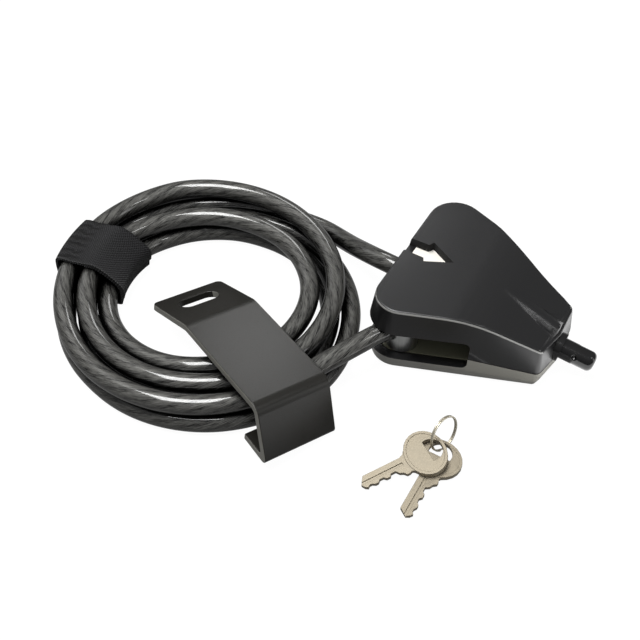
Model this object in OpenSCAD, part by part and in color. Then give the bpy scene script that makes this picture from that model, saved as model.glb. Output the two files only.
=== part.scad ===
// Adjustable cable lock: a wedge-shaped housing that a steel cable runs through and locks in,
// the cable's coil held by a strap, a wall bracket that lies over the coil, and two keys on a ring.
// Millimetres. X runs along the cable passage to the nose, Y to the key cylinder, Z up from the flat back.

/* [Housing] */
// Height of the housing over its wide part
body_h = 33; // [32.5:0.1:36]
// Distance from the origin to the wide end
body_back = 33.6; // [33.4:0.1:36]
// Distance from the origin to the tip of the nose
body_nose = 34; // [33:0.1:35]
// Radius of the two corners at the wide end, in plan
lobe_r = 10; // [9.5:0.1:11]
// Distance from the centre line to each wide corner's centre
lobe_y = 23.5; // [23:0.1:26]
// Distance from the centre line to each nose corner's centre
shoulder_y = 12.6; // [12.3:0.1:14]
// Radius of the nose corners
shoulder_r = 2; // [1.5:0.1:3]
// How much rounder the wide corner beside the key cylinder is
far_round = 1.5; // [0:0.1:2]
// How far the side beyond the key cylinder draws in between its corners
waist = 2; // [0:0.1:2.2]
// Thickness of the side walls
wall = 2.5; // [2:0.1:2.8]
// Thickness of the bottom
floor_t = 2.5; // [2:0.1:3]
// Thickness of the roof
roof_t = 3; // [2.5:0.1:3.2]
// How far the sides swell out at the joint between the shells
bulge = 1.9; // [1:0.1:2.4]
// Height of the joint between the shells at the origin
split_z = 13.8; // [13:0.1:14.5]
// Fall of the nose's top, in degrees
nose_fall = 25; // [22:0.5:27]
// Radius of the outer edges of the roof
edge_r = 1; // [0.5:0.1:1.5]

/* [Cable] */
// Outside diameter of the coated cable
cable_d = 8; // [7.2:0.1:8.4]
// Height of the cable passage's axis at the origin
passage_z = 14.8; // [14.4:0.1:15.2]
// Downward tilt of the passage towards the nose, in degrees
passage_tilt = 5.5; // [5:0.1:6]
// Clearance around the cable in the lock, on the radius
cable_gap = 0.35; // [0.2:0.05:0.6]
// Length of the moulded tip on the cable's free end
tip_len = 15.5; // [10:0.5:24]
// How far the bright collar stands out of the nose
collar_out = 2; // [1:0.1:3]
// Wall of the nose collar
collar_t = 1.45; // [1:0.05:1.8]

/* [Window and swivel] */
// Height of the window's lower edge
window_z0 = 7; // [6.6:0.1:7.4]
// Height of the window's upper edge
window_z1 = 20.8; // [20.6:0.1:22]
// Place of the window's blind end, along the passage
window_x1 = 6.7; // [4:0.1:9]
// Radius of the swivel barrel
barrel_r = 6.5; // [6:0.1:6.8]
// Radius of the barrel's spigots
spigot_r = 2.8; // [2:0.1:3.2]
// Clearance around a spigot, on the radius
spigot_gap = 0.08; // [0.05:0.01:0.1]
// Thickness of the steel floor plate
plate_t = 1.5; // [1:0.1:1.8]

/* [Locking parts] */
// Length of the lock body along the passage
block_len = 38; // [34:0.5:39]
// Width of the lock body
block_w = 15; // [14:0.1:15.2]
// Width of the locking finger's jaw, across the passage
jaw_w = 6; // [5:0.1:6.2]
// Length of the jaw, along the passage
jaw_len = 9; // [7:0.1:9.2]
// Thickness of the finger's arm
arm_t = 2.7; // [2:0.1:3]
// Wire diameter of the finger's torsion spring
spring_wire = 0.5; // [0.4:0.05:0.6]

/* [Key cylinder] */
// Distance from the centre line to the cylinder's axis
cylinder_y = 19; // [18.8:0.1:19.6]
// Depth of the cylinder's axis below the roof's top
cylinder_drop = 11.7; // [11.3:0.05:11.7]
// Radius of the turning plug
plug_r = 4.8; // [4.6:0.05:5]
// Clearance around the plug, on the radius
plug_gap = 0.05; // [0.03:0.01:0.08]
// Wall of the cylinder housing around the plug
cylinder_wall = 2.15; // [1.8:0.05:2.2]
// Radius of the plug's tail, which carries the locking finger
tail_r = 2.2; // [1.8:0.05:2.4]
// Radius of the tumbler pins
pin_r = 1.2; // [0.9:0.05:1.25]
// Spacing of the tumbler pins
pin_pitch = 3.8; // [3.4:0.05:4]

/* [Strap] */
// Width of the fabric strap
strap_w = 24; // [18:0.5:28]
// Thickness of one layer of the strap
strap_t = 1; // [0.8:0.05:1.2]

/* [Bracket] */
// Width of the bracket
bracket_w = 31.5; // [26:0.5:32]
// Thickness of the bracket's steel
bracket_t = 2.8; // [2:0.1:2.9]
// Length of the bracket's slot
slot_len = 17; // [12:0.5:20]
// Width of the bracket's slot
slot_w = 8; // [4:0.5:9]

/* [Keys] */
// Thickness of a key
key_t = 1.8; // [1.4:0.1:2]
// Length of a key
key_len = 34.2; // [33.8:0.1:36]
// Width of a key's blade
blade_w = 5.6; // [5:0.1:6.2]
// Radius of a key's bow, across
bow_r = 9.3; // [8.8:0.1:9.6]
// Radius of the split ring's wire turns, at the wire's centre
ring_r = 6.9; // [6.7:0.05:7.1]
// Radius of the split ring's wire
ring_wire = 0.45; // [0.35:0.01:0.47]

/* [Hidden] */
round_fn = 48;
cylinder_z = body_h - cylinder_drop;
eps = 0.02;
seat_gap = 0.1;         // between pieces that are assembled without a fit
side_steps = 14;
lobe_steps = 10;
crown_x = -5;           // where the roof starts to fall
crown_r = 45;
split_slope = 0.155;
nose_r = 6;
lobe_x = lobe_r - body_back;
nose_x = body_nose - nose_r;
shoulder_x = body_nose - 3.3;
waist_x = -6;
nose_skew = 1;           // the nose corner beside the cylinder stands forward, the other back
cavity_corner = 0.3;
pinch = 0.6;
body_circles = [[lobe_x, lobe_y, lobe_r], [shoulder_x, shoulder_y, shoulder_r], [nose_x, 0, nose_r]];
cavity_circles = [
  [lobe_x, lobe_y, lobe_r - wall],
  [shoulder_x - pinch, shoulder_y - pinch, cavity_corner],
  [nose_x, 0, nose_r - wall]
];

cable_r = cable_d / 2;
bore_r = cable_r + cable_gap;
inner_x0 = -36;         // the straight stretch inside the lock, along the passage
inner_x1 = body_nose;
collar_x0 = body_nose - 4;
collar_x1 = body_nose + collar_out;
collar_r = bore_r + collar_t;
tip_extra = 0.15;

barrel_x = lobe_x + 2.1;
barrel_y = -lobe_y - 1;
barrel_gap = 0.3;
swivel_z = 16.5;
swivel_dir = -126;
plate_z1 = window_z0 + 0.3;
plate_z0 = plate_z1 - plate_t;
barrel_z0 = plate_z1 + barrel_gap;
barrel_z1 = body_h - 7.8;
spigot_len = 4.3;
swivel_boss_r = 5;
swivel_boss_z = barrel_z1 + barrel_gap;
ferrule_wall = 0.3;
bay_y = -11;            // the dark wall at the back of the window's bay
bay_t = 1.5;
window_y = -14;

screw_r = 1.5;
screw_head_r = 2.8;
screw_gap = 0.05;
boss_r = 3;
boss_base_r = 4.2;
boss_base_h = 5;
screw_pts = [[7 - body_back, -10.5], [9.5, 16.5], [24, -10], [24, 10]];
screw_top = 8;          // thread above the joint

block_x0 = -26;
block_z0 = -7.5;
block_z1 = body_h - 24.5;
pocket_gap = 0.3;
jaw_x = -5;             // middle of the jaw
jaw_z1 = cylinder_z + 1.7;
arm_x0 = -7;
arm_x1 = -2.5;
hub_r = 4.2;
tooth = 0.5;
spring_x0 = -10.3;
spring_r = 2.95;
spring_turns = 4;

plug_x0 = -35;
cylinder_x0 = -34.5;
cylinder_x1 = -12;
cylinder_r = plug_r + plug_gap + cylinder_wall;
bible_x0 = seat_gap + wall - body_back;
bible_w = 7;
cover_t = 1.2;
bible_z0 = 8.2;
pin_n = 4;
pin_x0 = -28;
shear_drop = plug_r - 0.2;
driver_drop = plug_r + 0.1;
driver_len = 3.5;
pin_wire = 0.3;
pin_spring_r = 0.75;
pin_turns = 4;
keyway_t = 2;
clip_t = 0.8;
clip_x0 = cylinder_x1 + seat_gap;
clip_r = 6;
clip_groove_r = 4;
plug_x1 = -10.5;

arrow_depth = 4;
arrow_pad = 1;
arrow_plate_t = 1;
arrow_pts = [
  [-45, -2.3], [-24.6, -2.9], [-23.8, -4.6], [-13.3, 0.5], [-24.5, 6.6], [-25.6, 4.4], [-45, 4.2]
];

// Coil, by turning angle: distance from the centre and height.
coil_c = [-101, -43.9];
coil_turn = 30;         // turning angles are counted from here
coil_a0 = 60;
coil_a1 = 1735;
ring_step = 15;
coil_sides = 6;
coil_low = cable_r + 0.05;
coil_high = coil_low + cable_d + 0.7;
coil_radius = [
  [60, 59.8], [90, 58], [150, 58.3], [225, 57.4], [275, 60.4], [320, 62.6], [355, 59.4], [420, 51.3],
  [450, 49.5], [510, 49.7], [585, 48.9], [635, 51.8], [680, 54], [715, 50.9], [780, 42.5], [810, 41],
  [870, 41.2], [950, 40.2], [990, 40.2], [1040, 42.2], [1075, 42.6], [1110, 41.4], [1145, 40.2], [1190, 42],
  [1235, 47.2], [1260, 48.4], [1350, 48.8], [1480, 54.6], [1545, 60.2], [1600, 58], [1640, 57.2], [1735, 59]
];
coil_z = [[60, coil_low], [840, coil_low], [1010, coil_high], [1735, coil_high]];
strap_a = 159;          // where the strap goes round, as a turning angle
strap_lift_power = 8;

// Free stretches of the cable between the lock and the coil, points chosen by hand.
far_points = [[-45, 0.8, 18], [-54, 4.5, 14.5], [-62.5, 9.5, 9.5], [-71, 13.8, 6], [-80, 16.6, 4.5]];
near_points = [[-44.3, -64.5, 13.4], [-38.8, -53.5, 14.7], [-32.5, -42.3, 15.9]];
lead_sides = 10;

strap_in0 = 36.4;
strap_in1 = 62.6;
strap_top = coil_high + cable_r + 2 * strap_t + 0.25;
strap_sweep = 60;

bracket_turn = -25.3;
bracket_roll = -9.8;
bracket_foot = [-31, -86.8, 0];
bracket_rise = 0.15;
// The bracket's outer face from its slotted end, over the fold, down to the foot's corner.
bracket_line = concat(
  [[-86, 10.6], [-61.6, 20.9], [-60.3, 21.3], [-58.5, 21.5]],
  [for (a = [94:-11.5:24]) [-13.4, 19.1] + 5.5 * [cos(a), sin(a)]],
  [[0.26, 2.8]]
);
slot_s = -76.3;
slot_tilt = atan2(bracket_line[1][1] - bracket_line[0][1], bracket_line[1][0] - bracket_line[0][0]);
slot_z = bracket_line[0][1] + (slot_s - bracket_line[0][0]) * tan(slot_tilt);
slot_corner = 2.5;

key_1_hole = [11.02, -64.33, 5.28];
key_1_turn = 55;
key_2_hole = [14.1, -62.24, 2.55];
key_2_turn = 90;
tip_z = 1.05;           // height of a lying key's tip, at mid thickness
bow_len = 7.8;
bow_x = key_len - bow_len;
hole_x = key_len - 5.6;
hole_r = 4.5;
hole_flat = 1.2;
rim_h = 0.25;
ring_c = [12.3, -56.4, 7.4];
ring_turn = -13.8;
ring_tilt = 75.05;

// ---- outline and lofts -------------------------------------------------------------------------

function lerp(a, b, t) = a + (b - a) * t;
function clamp(v, lo, hi) = max(lo, min(hi, v));
function split_at(x) = split_z - split_slope * x;
function crown_end() = crown_x + crown_r * sin(nose_fall);
function top_at(x) =
  x < crown_x ? body_h
  : x < crown_end() ? body_h - crown_r + sqrt(crown_r * crown_r - pow(x - crown_x, 2))
  : body_h - crown_r * (1 - cos(nose_fall)) - tan(nose_fall) * (x - crown_end());

// Angle of the common outer tangent of two circles given as [x, y, r].
function tangent(a, b) =
  atan2(b[1] - a[1], b[0] - a[0]) + acos((a[2] - b[2]) / norm([b[0] - a[0], b[1] - a[1]]));
function on_circle(c, a) = [c[0] + c[2] * cos(a), c[1] + c[2] * sin(a), cos(a), sin(a)];

// Half of the plan outline, wide end to nose, as [x, y, normal x, normal y].
function half_outline(c) =
  let (t1 = tangent(c[0], c[1]))
  let (t2 = tangent(c[1], c[2]))
  let (p = on_circle(c[0], t1))
  let (q = on_circle(c[1], t1))
  concat(
    [for (k = [0:lobe_steps]) on_circle(c[0], lerp(180, t1, k / lobe_steps))],
    [for (k = [1:side_steps]) lerp(p, q, k / (side_steps + 1))],
    [for (k = [0:3]) on_circle(c[1], lerp(t1, t2, k / 3))],
    [for (k = [1:2]) on_circle(c[2], lerp(t2, 2, k / 2))]
  );
function waist_at(x) = waist * sin(180 * clamp((x - waist_x) / (shoulder_x - waist_x), 0, 1));
// The cylinder side is rounder at the wide end and draws in; the other side is straight.
function outline(c) =
  let (skew = [nose_skew, 0, 0])
  let (far = half_outline([c[0] + far_round * [1, -1, 1], c[1] + skew, c[2]]))
  let (near = half_outline([c[0], c[1] - skew, c[2]]))
  concat(
    [for (q = far) [q[0], q[1] - waist_at(q[0]), q[2], q[3]]],
    [for (i = [len(near) - 1:-1:0]) [near[i][0], -near[i][1], near[i][2], -near[i][3]]]
  );

// A level is [offset at the wide end, offset at the nose, share of split height, share of top height, height].
function level_offset(v, x) = lerp(v[0], v[1], clamp((x + body_back) / (body_back + body_nose), 0, 1));
function level_ring(c, v) =
  [for (q = outline(c))
    let (o = level_offset(v, q[0]))
    [q[0] + o * q[2], q[1] + o * q[3], v[2] * split_at(q[0]) + v[3] * top_at(q[0]) + v[4]]];

module loft(c, levels) {
  n = len(outline(c));
  k = len(levels);
  points = [for (v = levels) each level_ring(c, v)];
  sides = [for (j = [0:k - 2]) for (i = [0:n - 1])
    let (i2 = (i + 1) % n)
    each [[j * n + i, j * n + i2, (j + 1) * n + i2], [j * n + i, (j + 1) * n + i2, (j + 1) * n + i]]];
  floor_faces = [for (i = [0:n / 2 - 2]) [i, n - 1 - i, n - 2 - i, i + 1]];
  roof = [for (i = [0:n / 2 - 2])
    let (b = (k - 1) * n)
    each [[b + i, b + i + 1, b + n - 2 - i], [b + i, b + n - 2 - i, b + n - 1 - i]]];
  polyhedron(points, concat(sides, floor_faces, roof), convexity = 6);
}

body_levels = [
  [-0.9, -0.9, 0, 0, 0],
  [0.2, 0, 0, 0, 1],
  [bulge, bulge * 0.6, 0.47, 0, 0],
  [bulge, bulge * 0.6, 1, 0, 0],
  [0, 0, 0, 1, -edge_r],
  [-0.3 * edge_r, -0.3 * edge_r, 0, 1, -0.3 * edge_r],
  [-edge_r, -edge_r, 0, 1, 0]
];

module plan(c, grow) {
  polygon([for (q = outline(c)) [q[0] + grow * q[2], q[1] + grow * q[3]]]);
}

module cavity(grow = 0) {
  loft(cavity_circles, [[grow, grow, 0, 0, floor_t - grow], [grow, grow, 0, 1, grow - roof_t]]);
}

module below_split() {
  translate([0, 0, split_z])
    rotate([0, atan(split_slope), 0])
      translate([-100, -100, -100])
        cube([200, 200, 100]);
}

module passage() {
  translate([0, 0, passage_z]) rotate([0, passage_tilt, 0]) children();
}

module rod_x(r, x0, x1) {
  translate([x0, 0, 0]) rotate([0, 90, 0]) cylinder(r = r, h = x1 - x0, $fn = round_fn);
}

module post(x, y, r, z0, z1) {
  translate([x, y, z0]) cylinder(r = r, h = z1 - z0, $fn = round_fn);
}

module box(x, y, z) {
  translate([x[0], y[0], z[0]]) cube([x[1] - x[0], y[1] - y[0], z[1] - z[0]]);
}

// ---- swept tubes ------------------------------------------------------------------------------

function unit(v) = v / norm(v);
function heading(p, i) = unit(p[min(i + 1, len(p) - 1)] - p[max(i - 1, 0)]);
function tube_ring(c, t, r, n) =
  let (s = unit(cross(t, [0, 0, 1])))
  let (u = cross(s, t))
  [for (k = [0:n - 1]) c + r * (cos(360 * k / n) * s + sin(360 * k / n) * u)];

// A tube of radius r through points p; t0 and t1 are its headings at the two ends.
module tube(p, r, n, t0, t1) {
  m = len(p);
  rings = [for (i = [0:m - 1])
    each tube_ring(p[i], i == 0 ? t0 : i == m - 1 ? t1 : heading(p, i), r, n)];
  sides = [for (i = [0:m - 2]) for (k = [0:n - 1])
    let (k2 = (k + 1) % n)
    each [[i * n + k, i * n + k2, (i + 1) * n + k2], [i * n + k, (i + 1) * n + k2, (i + 1) * n + k]]];
  caps = [[for (k = [n - 1:-1:0]) k], [for (k = [0:n - 1]) (m - 1) * n + k]];
  polyhedron(rings, concat(sides, caps), convexity = 10);
}

// Smooth points through p, four to a span.
function spline_at(a, b, c, d, t) =
  0.5 * (2 * b + (c - a) * t + (2 * a - 5 * b + 4 * c - d) * t * t + (3 * b - a - 3 * c + d) * t * t * t);
function smooth(p, steps = 3) =
  let (m = len(p))
  concat(
    [for (i = [0:m - 2]) for (k = [0:steps - 1])
      spline_at(p[max(i - 1, 0)], p[i], p[i + 1], p[min(i + 2, m - 1)], k / steps)],
    [p[m - 1]]
  );

function strap_lift(a) = strap_t * min(1, 1.45 * pow(max(0, cos(a - strap_a)), strap_lift_power));
function coil_at(a) =
  let (r = lookup(a, coil_radius))
  [
    coil_c[0] + r * cos(a + coil_turn),
    coil_c[1] + r * sin(a + coil_turn),
    lookup(a, coil_z) + strap_lift(a)
  ];
function coil_heading(a) = unit(coil_at(a + 1) - coil_at(a - 1));
coil_t0 = unit(coil_at(coil_a0 + 1) - coil_at(coil_a0));
coil_t1 = unit(coil_at(coil_a1) - coil_at(coil_a1 - 1));
// One diameter of straight tube at each end.
coil_p0 = coil_at(coil_a0) - cable_d * coil_t0;
coil_p1 = coil_at(coil_a1) + cable_d * coil_t1;
coil_path = concat([coil_p0], [for (a = [coil_a0:ring_step:coil_a1 - 1]) coil_at(a)], [coil_at(coil_a1), coil_p1]);

// Least gap between turns, on points of the path that lie a half turn or more apart.
check_step = 5;
half_turn = 180 / check_step;
coil_fine = [for (a = [coil_a0:check_step:coil_a1]) coil_at(a)];
coil_last = len(coil_fine) - 1;
turn_distances = [for (i = [0:coil_last - half_turn]) for (j = [i + half_turn:coil_last])
  norm(coil_fine[j] - coil_fine[i])];
echo(least_gap_between_turns = min(turn_distances) - cable_d);

passage_dir = [cos(passage_tilt), 0, -sin(passage_tilt)];
far_start = [0, 0, passage_z] + inner_x0 * passage_dir;
far_path = smooth(concat([far_start, far_start - cable_r * passage_dir], far_points, [coil_p0 - cable_r * coil_t0, coil_p0]));
swivel_vec = [cos(swivel_dir), sin(swivel_dir), 0];
swivel_c = [barrel_x, barrel_y, swivel_z];
near_end = swivel_c + (barrel_r + 0.4) * swivel_vec;
near_path = smooth(concat([coil_p1, coil_p1 + cable_r * coil_t1], near_points, [near_end + cable_r * swivel_vec, near_end]));

// ---- housing ----------------------------------------------------------------------------------

module ridge() {
  intersection() {
    hull() {
      translate([9, 0, top_at(9) - 4]) sphere(r = 4, $fn = 24);
      translate([33, 0, top_at(33) - 6.2]) sphere(r = 7.5, $fn = 24);
    }
    linear_extrude(body_h) plan(body_circles, -1.1);
  }
}

module skin() {
  difference() {
    union() {
      loft(body_circles, body_levels);
      ridge();
    }
    cavity();
  }
}

module window_cut() {
  r = 2.5;
  // The blind end has round corners.
  translate([0, window_y, 0])
    rotate([90, 0, 0])
      linear_extrude(40)
        polygon(concat(
          [[-60, window_z0]],
          [for (a = [-90:15:0]) [window_x1 - r + r * cos(a), window_z0 + r + r * sin(a)]],
          [for (a = [0:15:90]) [window_x1 - r + r * cos(a), window_z1 - r + r * sin(a)]],
          [[-60, window_z1]]
        ));
}

module cylinder_mouth() {
  translate([0, cylinder_y, cylinder_z]) rod_x(cylinder_r + seat_gap, -45, bible_x0 + 1);
}

module cable_holes() {
  passage() rod_x(bore_r + 0.2, -50, -28);
  passage() rod_x(collar_r + eps, 20, 50);
}

module bay_wall() {
  box([-31.5, 10], [bay_y, bay_y + bay_t], [0, body_h]);
}

module top_shell() {
  color("#3a3a3b")
    difference() {
      union() {
        difference() {
          skin();
          below_split();
        }
        intersection() {
          union() {
            for (p = screw_pts) post(p[0], p[1], boss_r, 0, body_h);
            post(barrel_x, barrel_y, swivel_boss_r, swivel_boss_z, body_h);
            box([-33, -10], [-7, 9.5], [body_h - arrow_depth, body_h]);
            bay_wall();
          }
          difference() {
            cavity(0.5);
            below_split();
          }
        }
      }
      for (p = screw_pts) post(p[0], p[1], screw_r + screw_gap, 0, split_at(p[0]) + screw_top + 0.5);
      post(barrel_x, barrel_y, spigot_r + spigot_gap, 10, barrel_z1 + spigot_len + 0.3);
      post(barrel_x, barrel_y, barrel_r + 0.4, 10, swivel_boss_z);
      window_cut();
      cylinder_mouth();
      cable_holes();
      translate([0, 0, body_h - arrow_depth]) linear_extrude(10) polygon(arrow_pts);
    }
}

module bottom_shell() {
  color("#565552")
    difference() {
      union() {
        intersection() {
          skin();
          below_split();
        }
        intersection() {
          union() {
            for (p = screw_pts) {
              post(p[0], p[1], boss_r, 0, body_h);
              post(p[0], p[1], boss_base_r, 0, boss_base_h);
            }
            bay_wall();
            // Ribs under the floor plate, cradles under the lock body and the seat under the cylinder.
            box([-32, 8], [bay_y - 3, bay_y], [0, plate_z0]);
            box([-32, 12], [-29.8, -28.3], [0, plate_z0]);
            passage() box([block_x0 + 2, block_x0 + 6], [-block_w / 2, block_w / 2], [-20, block_z0]);
            passage() box([6, 10], [-block_w / 2, block_w / 2], [-20, block_z0]);
            box([-30, cylinder_x1 - 1], [cylinder_y - 3.5, cylinder_y + 3.5], [0, bible_z0 - cover_t]);
          }
          intersection() {
            cavity(0.5);
            below_split();
          }
        }
      }
      for (p = screw_pts) {
        post(p[0], p[1], screw_r + screw_gap + 0.1, -1, body_h);
        post(p[0], p[1], screw_head_r + seat_gap, -1, floor_t);
      }
      post(barrel_x, barrel_y, barrel_r + 0.4, plate_z1, 40);
      window_cut();
      cylinder_mouth();
      cable_holes();
    }
}

module arrow_plate() {
  color("#b9bcbd")
    box([-31, -11], [-6.5, 8.5], [body_h - arrow_depth - arrow_plate_t, body_h - arrow_depth]);
}

module floor_plate() {
  color("#5d5f4d")
    difference() {
      translate([0, 0, plate_z0])
        linear_extrude(plate_t)
          intersection() {
            plan(cavity_circles, -seat_gap);
            translate([-40, -60]) square([49, 60 + bay_y - 0.2]);
          }
      post(screw_pts[0][0], screw_pts[0][1], boss_r + seat_gap, 0, 10);
      post(barrel_x, barrel_y, spigot_r + spigot_gap, 0, 10);
    }
}

module shell_screws() {
  color("#8a8a88")
    for (p = screw_pts) {
      post(p[0], p[1], screw_r, floor_t, split_at(p[0]) + screw_top);
      difference() {
        post(p[0], p[1], screw_head_r, 0.7, floor_t);
        box([p[0] - 2, p[0] + 2], [p[1] - 0.4, p[1] + 0.4], [0, 1.5]);
        box([p[0] - 0.4, p[0] + 0.4], [p[1] - 2, p[1] + 2], [0, 1.5]);
      }
    }
}

module nose_collar() {
  color("#c9cbcc")
    passage()
      difference() {
        rod_x(collar_r, collar_x0, collar_x1);
        rod_x(bore_r, collar_x0 - 1, collar_x1 + 1);
      }
}

// ---- swivel -----------------------------------------------------------------------------------

module swivel_barrel() {
  color("#c4c6c7")
    difference() {
      union() {
        post(barrel_x, barrel_y, barrel_r, barrel_z0, barrel_z1);
        post(barrel_x, barrel_y, spigot_r, barrel_z0 - spigot_len, barrel_z1 + spigot_len);
      }
      translate(swivel_c) rotate([0, 0, swivel_dir]) rod_x(cable_r + ferrule_wall, -3, 12);
    }
}

module swivel_ferrule() {
  color("#9a9c9c")
    translate(swivel_c)
      rotate([0, 0, swivel_dir])
        rod_x(cable_r + ferrule_wall, -3, barrel_r - 1.2);
}

// ---- cable ------------------------------------------------------------------------------------

module cable_inner() {
  color("#1d1d1f") passage() rod_x(cable_r, inner_x0, inner_x1);
}

module cable_end_tip() {
  r = cable_r + tip_extra;
  dome = 2.4;
  color("#1a1a1b")
    passage()
      translate([inner_x1, 0, 0])
        rotate([0, 90, 0])
          rotate_extrude($fn = round_fn)
            polygon(concat(
              [[0, 0], [r, 0]],
              [for (a = [0:10:80]) [r - dome + dome * cos(a), tip_len - dome + dome * sin(a)]],
              [[0.9, tip_len], [0, tip_len - 0.7]]
            ));
}

module cable_far_lead() {
  color("#1d1d1f") tube(far_path, cable_r, lead_sides, -passage_dir, coil_t0);
}

module cable_coil() {
  color("#1d1d1f") tube(coil_path, cable_r, coil_sides, coil_t0, coil_t1);
}

module cable_near_lead() {
  color("#1d1d1f") tube(near_path, cable_r, lead_sides, coil_t1, -swivel_vec);
}

module cinch_strap() {
  lap = strap_in1 + strap_t;
  color("#1f1f20")
    translate([coil_c[0], coil_c[1], 0])
      rotate([0, 0, strap_a + coil_turn])
        intersection() {
          rotate([0, 0, -strap_sweep / 2])
            rotate_extrude(angle = strap_sweep, $fn = 72) {
              difference() {
                polygon([
                  [strap_in0 - strap_t, 3], [strap_in0 + 2, 0], [lap - 3, 0], [lap, 3],
                  [lap, strap_top - 2.5], [lap - 2.5, strap_top], [44, strap_top], [strap_in0 - strap_t, 12]
                ]);
                polygon([
                  [strap_in0, 3.5], [strap_in0 + 2.4, strap_t], [strap_in1 - 2.4, strap_t], [strap_in1, 3.5],
                  [strap_in1, strap_top - 3], [strap_in1 - 1.8, strap_top - strap_t],
                  [44.6, strap_top - strap_t], [strap_in0, 11.3]
                ]);
              }
              // The end of the strap, pressed on over the first layer.
              polygon([
                [40, strap_top - 2.46], [44, strap_top], [lap - 2.5, strap_top], [lap, strap_top - 2.5], [lap, 5],
                [lap + strap_t, 5], [lap + strap_t, strap_top - 2], [lap - 2, strap_top + strap_t],
                [43.8, strap_top + strap_t], [40, strap_top - 1.1]
              ]);
            }
          box([0, 90], [-strap_w / 2, strap_w / 2], [-1, 40]);
        }
}

// ---- locking parts ----------------------------------------------------------------------------

module lock_body() {
  jx = jaw_len / 2 + pocket_gap;
  jy = jaw_w / 2 + pocket_gap;
  color("#9b9c99")
    difference() {
      passage() box([block_x0, block_x0 + block_len], [-block_w / 2, block_w / 2], [block_z0, block_z1]);
      passage() rod_x(bore_r, -60, 60);
      box([jaw_x - jx, jaw_x + jx], [-jy - 0.3, jy], [passage_z, 40]);
      box([arm_x0 - pocket_gap, arm_x1 + pocket_gap], [0, 20], [jaw_z1 - arm_t - pocket_gap, 40]);
    }
}

// Swings on the plug's tail: the key lifts its toothed jaw off the cable.
module locking_finger() {
  color("#b3b4b1")
    difference() {
      union() {
        box([jaw_x - jaw_len / 2, jaw_x + jaw_len / 2], [-jaw_w / 2, jaw_w / 2], [passage_z + cable_r - 0.5, jaw_z1]);
        box([arm_x0, arm_x1], [0, cylinder_y], [jaw_z1 - arm_t, jaw_z1]);
        translate([0, cylinder_y, cylinder_z]) rod_x(hub_r, arm_x0, arm_x1);
      }
      translate([0, cylinder_y, cylinder_z]) rod_x(tail_r, -40, 40);
      passage() rod_x(cable_r + seat_gap, -30, 30);
      // Teeth across the biting face.
      for (i = [-2:2])
        passage()
          translate([jaw_x + i * 1.7, 0, cable_r + seat_gap])
            rotate([0, 45, 0])
              cube([tooth, 20, tooth], center = true);
    }
}

// A round wire wound up the Z axis.
module wound(r, wire, z0, z1, turns, per, n) {
  p = [for (i = [0:turns * per])
    [r * cos(360 * i / per), r * sin(360 * i / per), lerp(z0 + wire, z1 - wire, i / (turns * per))]];
  tube(p, wire, n, heading(p, 0), heading(p, len(p) - 1));
}

module finger_spring() {
  color("#a9a9a6")
    translate([0, cylinder_y, cylinder_z])
      rotate([0, 90, 0])
        wound(spring_r, spring_wire / 2, spring_x0, arm_x0 - seat_gap, spring_turns, 12, 6);
}

module cylinder_housing() {
  color("#8f8b7c")
    difference() {
      union() {
        translate([0, cylinder_y, cylinder_z]) rod_x(cylinder_r, cylinder_x0, cylinder_x1);
        box([bible_x0, cylinder_x1], [cylinder_y - bible_w / 2, cylinder_y + bible_w / 2], [bible_z0, cylinder_z]);
      }
      translate([0, cylinder_y, cylinder_z]) rod_x(plug_r + plug_gap, -60, 0);
      for (i = [0:pin_n - 1]) post(pin_x0 + i * pin_pitch, cylinder_y, pin_r + 0.05, 0, cylinder_z);
    }
}

module chamber_cover() {
  color("#a7a294")
    box([bible_x0, cylinder_x1], [cylinder_y - bible_w / 2, cylinder_y + bible_w / 2], [bible_z0 - cover_t, bible_z0]);
}

module key_plug() {
  color("#bfa96a")
    difference() {
      translate([0, cylinder_y, cylinder_z]) rod_x(plug_r, plug_x0, plug_x1);
      box([plug_x0 - 1, cylinder_x1 - 2], [cylinder_y - keyway_t / 2, cylinder_y + keyway_t / 2], [cylinder_z - 3.4, cylinder_z + 3]);
      for (i = [0:pin_n - 1]) post(pin_x0 + i * pin_pitch, cylinder_y, pin_r + 0.05, 0, cylinder_z - 1);
      translate([0, cylinder_y, cylinder_z])
        difference() {
          rod_x(plug_r + 1, clip_x0, clip_x0 + clip_t);
          rod_x(clip_groove_r, clip_x0 - 1, clip_x0 + clip_t + 1);
        }
    }
}

module key_pins() {
  color("#c8b47a")
    for (i = [0:pin_n - 1])
      post(pin_x0 + i * pin_pitch, cylinder_y, pin_r, cylinder_z - shear_drop, cylinder_z - 2 + 0.4 * (i % 2));
}

module driver_pins() {
  color("#c8b47a")
    for (i = [0:pin_n - 1])
      post(pin_x0 + i * pin_pitch, cylinder_y, pin_r, cylinder_z - driver_drop - driver_len, cylinder_z - driver_drop);
}

module pin_springs() {
  color("#a9a9a6")
    for (i = [0:pin_n - 1])
      translate([pin_x0 + i * pin_pitch, cylinder_y, 0])
        wound(pin_spring_r, pin_wire / 2, bible_z0 + eps, cylinder_z - driver_drop - driver_len - eps, pin_turns, 10, 5);
}

module plug_clip() {
  color("#9b9c99")
    translate([0, cylinder_y, cylinder_z])
      difference() {
        rod_x(clip_r, clip_x0, clip_x0 + clip_t);
        rod_x(clip_groove_r, clip_x0 - 1, clip_x0 + clip_t + 1);
      }
}

module plug_tail() {
  color("#a8a598") translate([0, cylinder_y, cylinder_z]) rod_x(tail_r, plug_x1, arm_x1 + 0.8);
}

// ---- bracket and keys ---------------------------------------------------------------------------

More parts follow.
